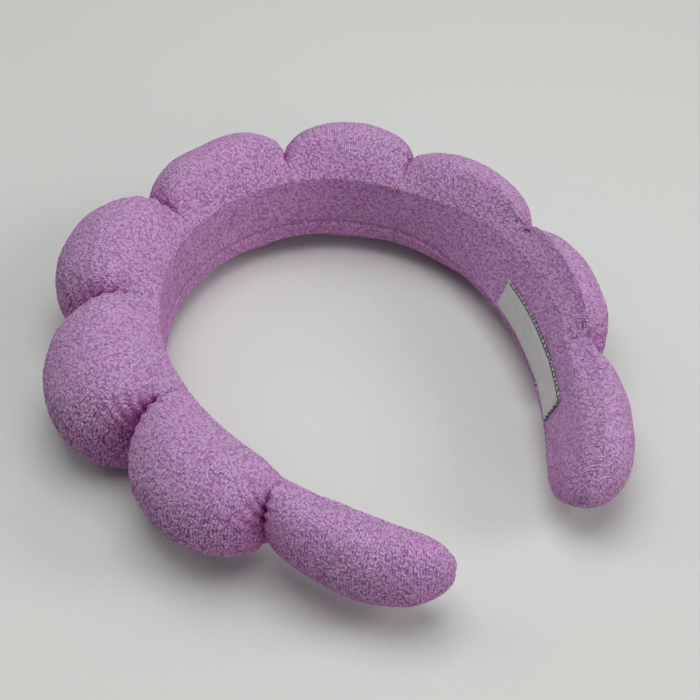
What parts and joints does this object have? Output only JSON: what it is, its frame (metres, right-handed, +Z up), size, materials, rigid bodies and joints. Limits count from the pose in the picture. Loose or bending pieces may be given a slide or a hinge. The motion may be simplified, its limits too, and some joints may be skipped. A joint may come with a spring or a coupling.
{
  "type": "puffed terry spa headband",
  "caption": "U-shaped spa headband: a springy flat hoop with foam puffs inside a gathered terry sleeve, lying flat, with a blank label inside one arm.",
  "frame": {"origin": "on the table, at the centre of the headband's overall footprint, which lies in the head opening", "axes": "+Z up from the table the headband lies on, +Y towards the crown, +X towards the right arm, which carries the label"},
  "size_m": [0.173, 0.1876, 0.0457],
  "materials": {
    "terry": "lilac terry loops, matt",
    "foam": "off-white open-cell foam",
    "hoop_plastic": "moulded, satin",
    "label_satin": "grey-white woven satin, blank",
    "black_thread": "spun polyester thread",
    "lilac_thread": "spun polyester thread"
  },
  "bodies": {
    "crown": {"foam_puff_5": "foam", "hoop_core": "hoop_plastic", "inner_pad": "foam", "terry_cover": "terry", "closing_seam_thread": "lilac_thread"},
    "left_arm_1": {"foam_puff_4": "foam", "gather_tie_4": "lilac_thread"},
    "left_arm_2": {"foam_puff_3": "foam", "gather_tie_3": "lilac_thread"},
    "left_arm_3": {"foam_puff_2": "foam", "gather_tie_2": "lilac_thread"},
    "left_arm_4": {"foam_puff_1": "foam", "gather_tie_1": "lilac_thread"},
    "right_arm_1": {"foam_puff_6": "foam", "gather_tie_5": "lilac_thread"},
    "right_arm_2": {"foam_puff_7": "foam", "gather_tie_6": "lilac_thread"},
    "right_arm_3": {"foam_puff_8": "foam", "gather_tie_7": "lilac_thread", "label": "label_satin", "label_stitching": "black_thread"},
    "right_arm_4": {"foam_puff_9": "foam", "gather_tie_8": "lilac_thread"}
  },
  "joints": [
    {"name": "left_arm_flex", "type": "hinge", "parent": "crown", "child": "left_arm_1", "pos_m": [-0.01898, 0.06322, 0.0217], "axis": [0, 0, -1], "range_deg": [-1.2, 4.8], "stiffness_Nm_per_rad": 3, "deforming": ["terry_cover", "hoop_core", "inner_pad", "closing_seam_thread"]},
    {"name": "left_arm_flex_2", "type": "hinge", "parent": "left_arm_1", "child": "left_arm_2", "pos_m": [-0.04606, 0.03812, 0.0217], "axis": [0, 0, -1], "range_deg": [-1.2, 4.6], "deforming": ["terry_cover", "hoop_core", "inner_pad", "closing_seam_thread"]},
    {"name": "left_arm_flex_3", "type": "hinge", "parent": "left_arm_2", "child": "left_arm_3", "pos_m": [-0.05607, -0.00148, 0.0217], "axis": [0, 0, -1], "range_deg": [-0.9, 3.6], "deforming": ["terry_cover", "hoop_core", "inner_pad", "closing_seam_thread"]},
    {"name": "left_arm_flex_4", "type": "hinge", "parent": "left_arm_3", "child": "left_arm_4", "pos_m": [-0.04595, -0.04567, 0.0217], "axis": [0, 0, -1], "range_deg": [-0.5, 2], "deforming": ["terry_cover", "hoop_core", "inner_pad", "closing_seam_thread"]},
    {"name": "right_arm_flex", "type": "hinge", "parent": "crown", "child": "right_arm_1", "pos_m": [0.02307, 0.0661, 0.0217], "axis": [0, 0, 1], "range_deg": [-1.2, 4.8], "stiffness_Nm_per_rad": 3, "deforming": ["terry_cover", "hoop_core", "inner_pad", "closing_seam_thread"]},
    {"name": "right_arm_flex_2", "type": "hinge", "parent": "right_arm_1", "child": "right_arm_2", "pos_m": [0.05447, 0.04288, 0.0217], "axis": [0, 0, 1], "range_deg": [-1.2, 4.6], "deforming": ["terry_cover", "hoop_core", "inner_pad", "closing_seam_thread"]},
    {"name": "right_arm_flex_3", "type": "hinge", "parent": "right_arm_2", "child": "right_arm_3", "pos_m": [0.06871, 0.00109, 0.0217], "axis": [0, 0, 1], "range_deg": [-0.9, 3.6], "deforming": ["terry_cover", "hoop_core", "inner_pad", "closing_seam_thread"]},
    {"name": "right_arm_flex_4", "type": "hinge", "parent": "right_arm_3", "child": "right_arm_4", "pos_m": [0.05958, -0.04398, 0.0217], "axis": [0, 0, 1], "range_deg": [-0.5, 2], "deforming": ["terry_cover", "hoop_core", "inner_pad", "closing_seam_thread", "label", "label_stitching"]}
  ],
  "couplings": [
    {"joint": "left_arm_flex_2", "follows": "left_arm_flex", "ratio": 0.95},
    {"joint": "left_arm_flex_3", "follows": "left_arm_flex", "ratio": 0.75},
    {"joint": "left_arm_flex_4", "follows": "left_arm_flex", "ratio": 0.4},
    {"joint": "right_arm_flex_2", "follows": "right_arm_flex", "ratio": 0.95},
    {"joint": "right_arm_flex_3", "follows": "right_arm_flex", "ratio": 0.75},
    {"joint": "right_arm_flex_4", "follows": "right_arm_flex", "ratio": 0.4}
  ]
}
